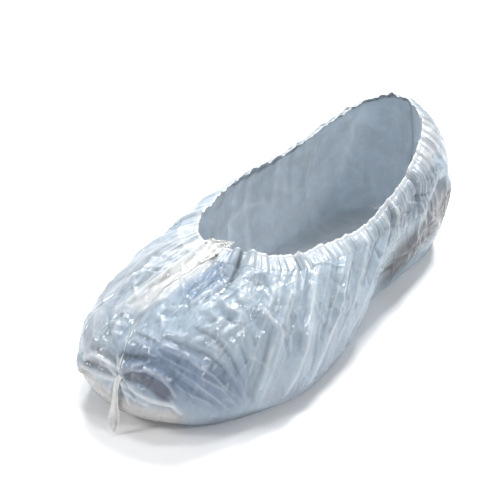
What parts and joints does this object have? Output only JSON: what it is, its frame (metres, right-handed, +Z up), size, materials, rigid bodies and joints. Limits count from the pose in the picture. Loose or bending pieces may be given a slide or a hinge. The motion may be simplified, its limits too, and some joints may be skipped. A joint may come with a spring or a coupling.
{
  "type": "shoe cover",
  "caption": "Slip-on shoe cover of thin creased film with an elasticated gathered mouth, a welded toe seam and a hanging weld end, in its worn shape.",
  "frame": {"origin": "on the floor under the middle of the cover's box", "axes": "+Z up, toe towards -Y, heel towards +Y, the outer side of a left shoe towards +X"},
  "size_m": [0.1254, 0.3196, 0.0992],
  "materials": {
    "film": "thin creased film, satin to glossy on its creases, lets light through",
    "hem": "several layers of the same film, whiter and less clear",
    "seam": "welded film edge, cream white",
    "elastic": "matte"
  },
  "bodies": {
    "root": {"film_body": "film", "hem": "hem", "elastic": "elastic", "toe_seam": "seam", "heel_seam": "seam"}
  },
  "joints": []
}
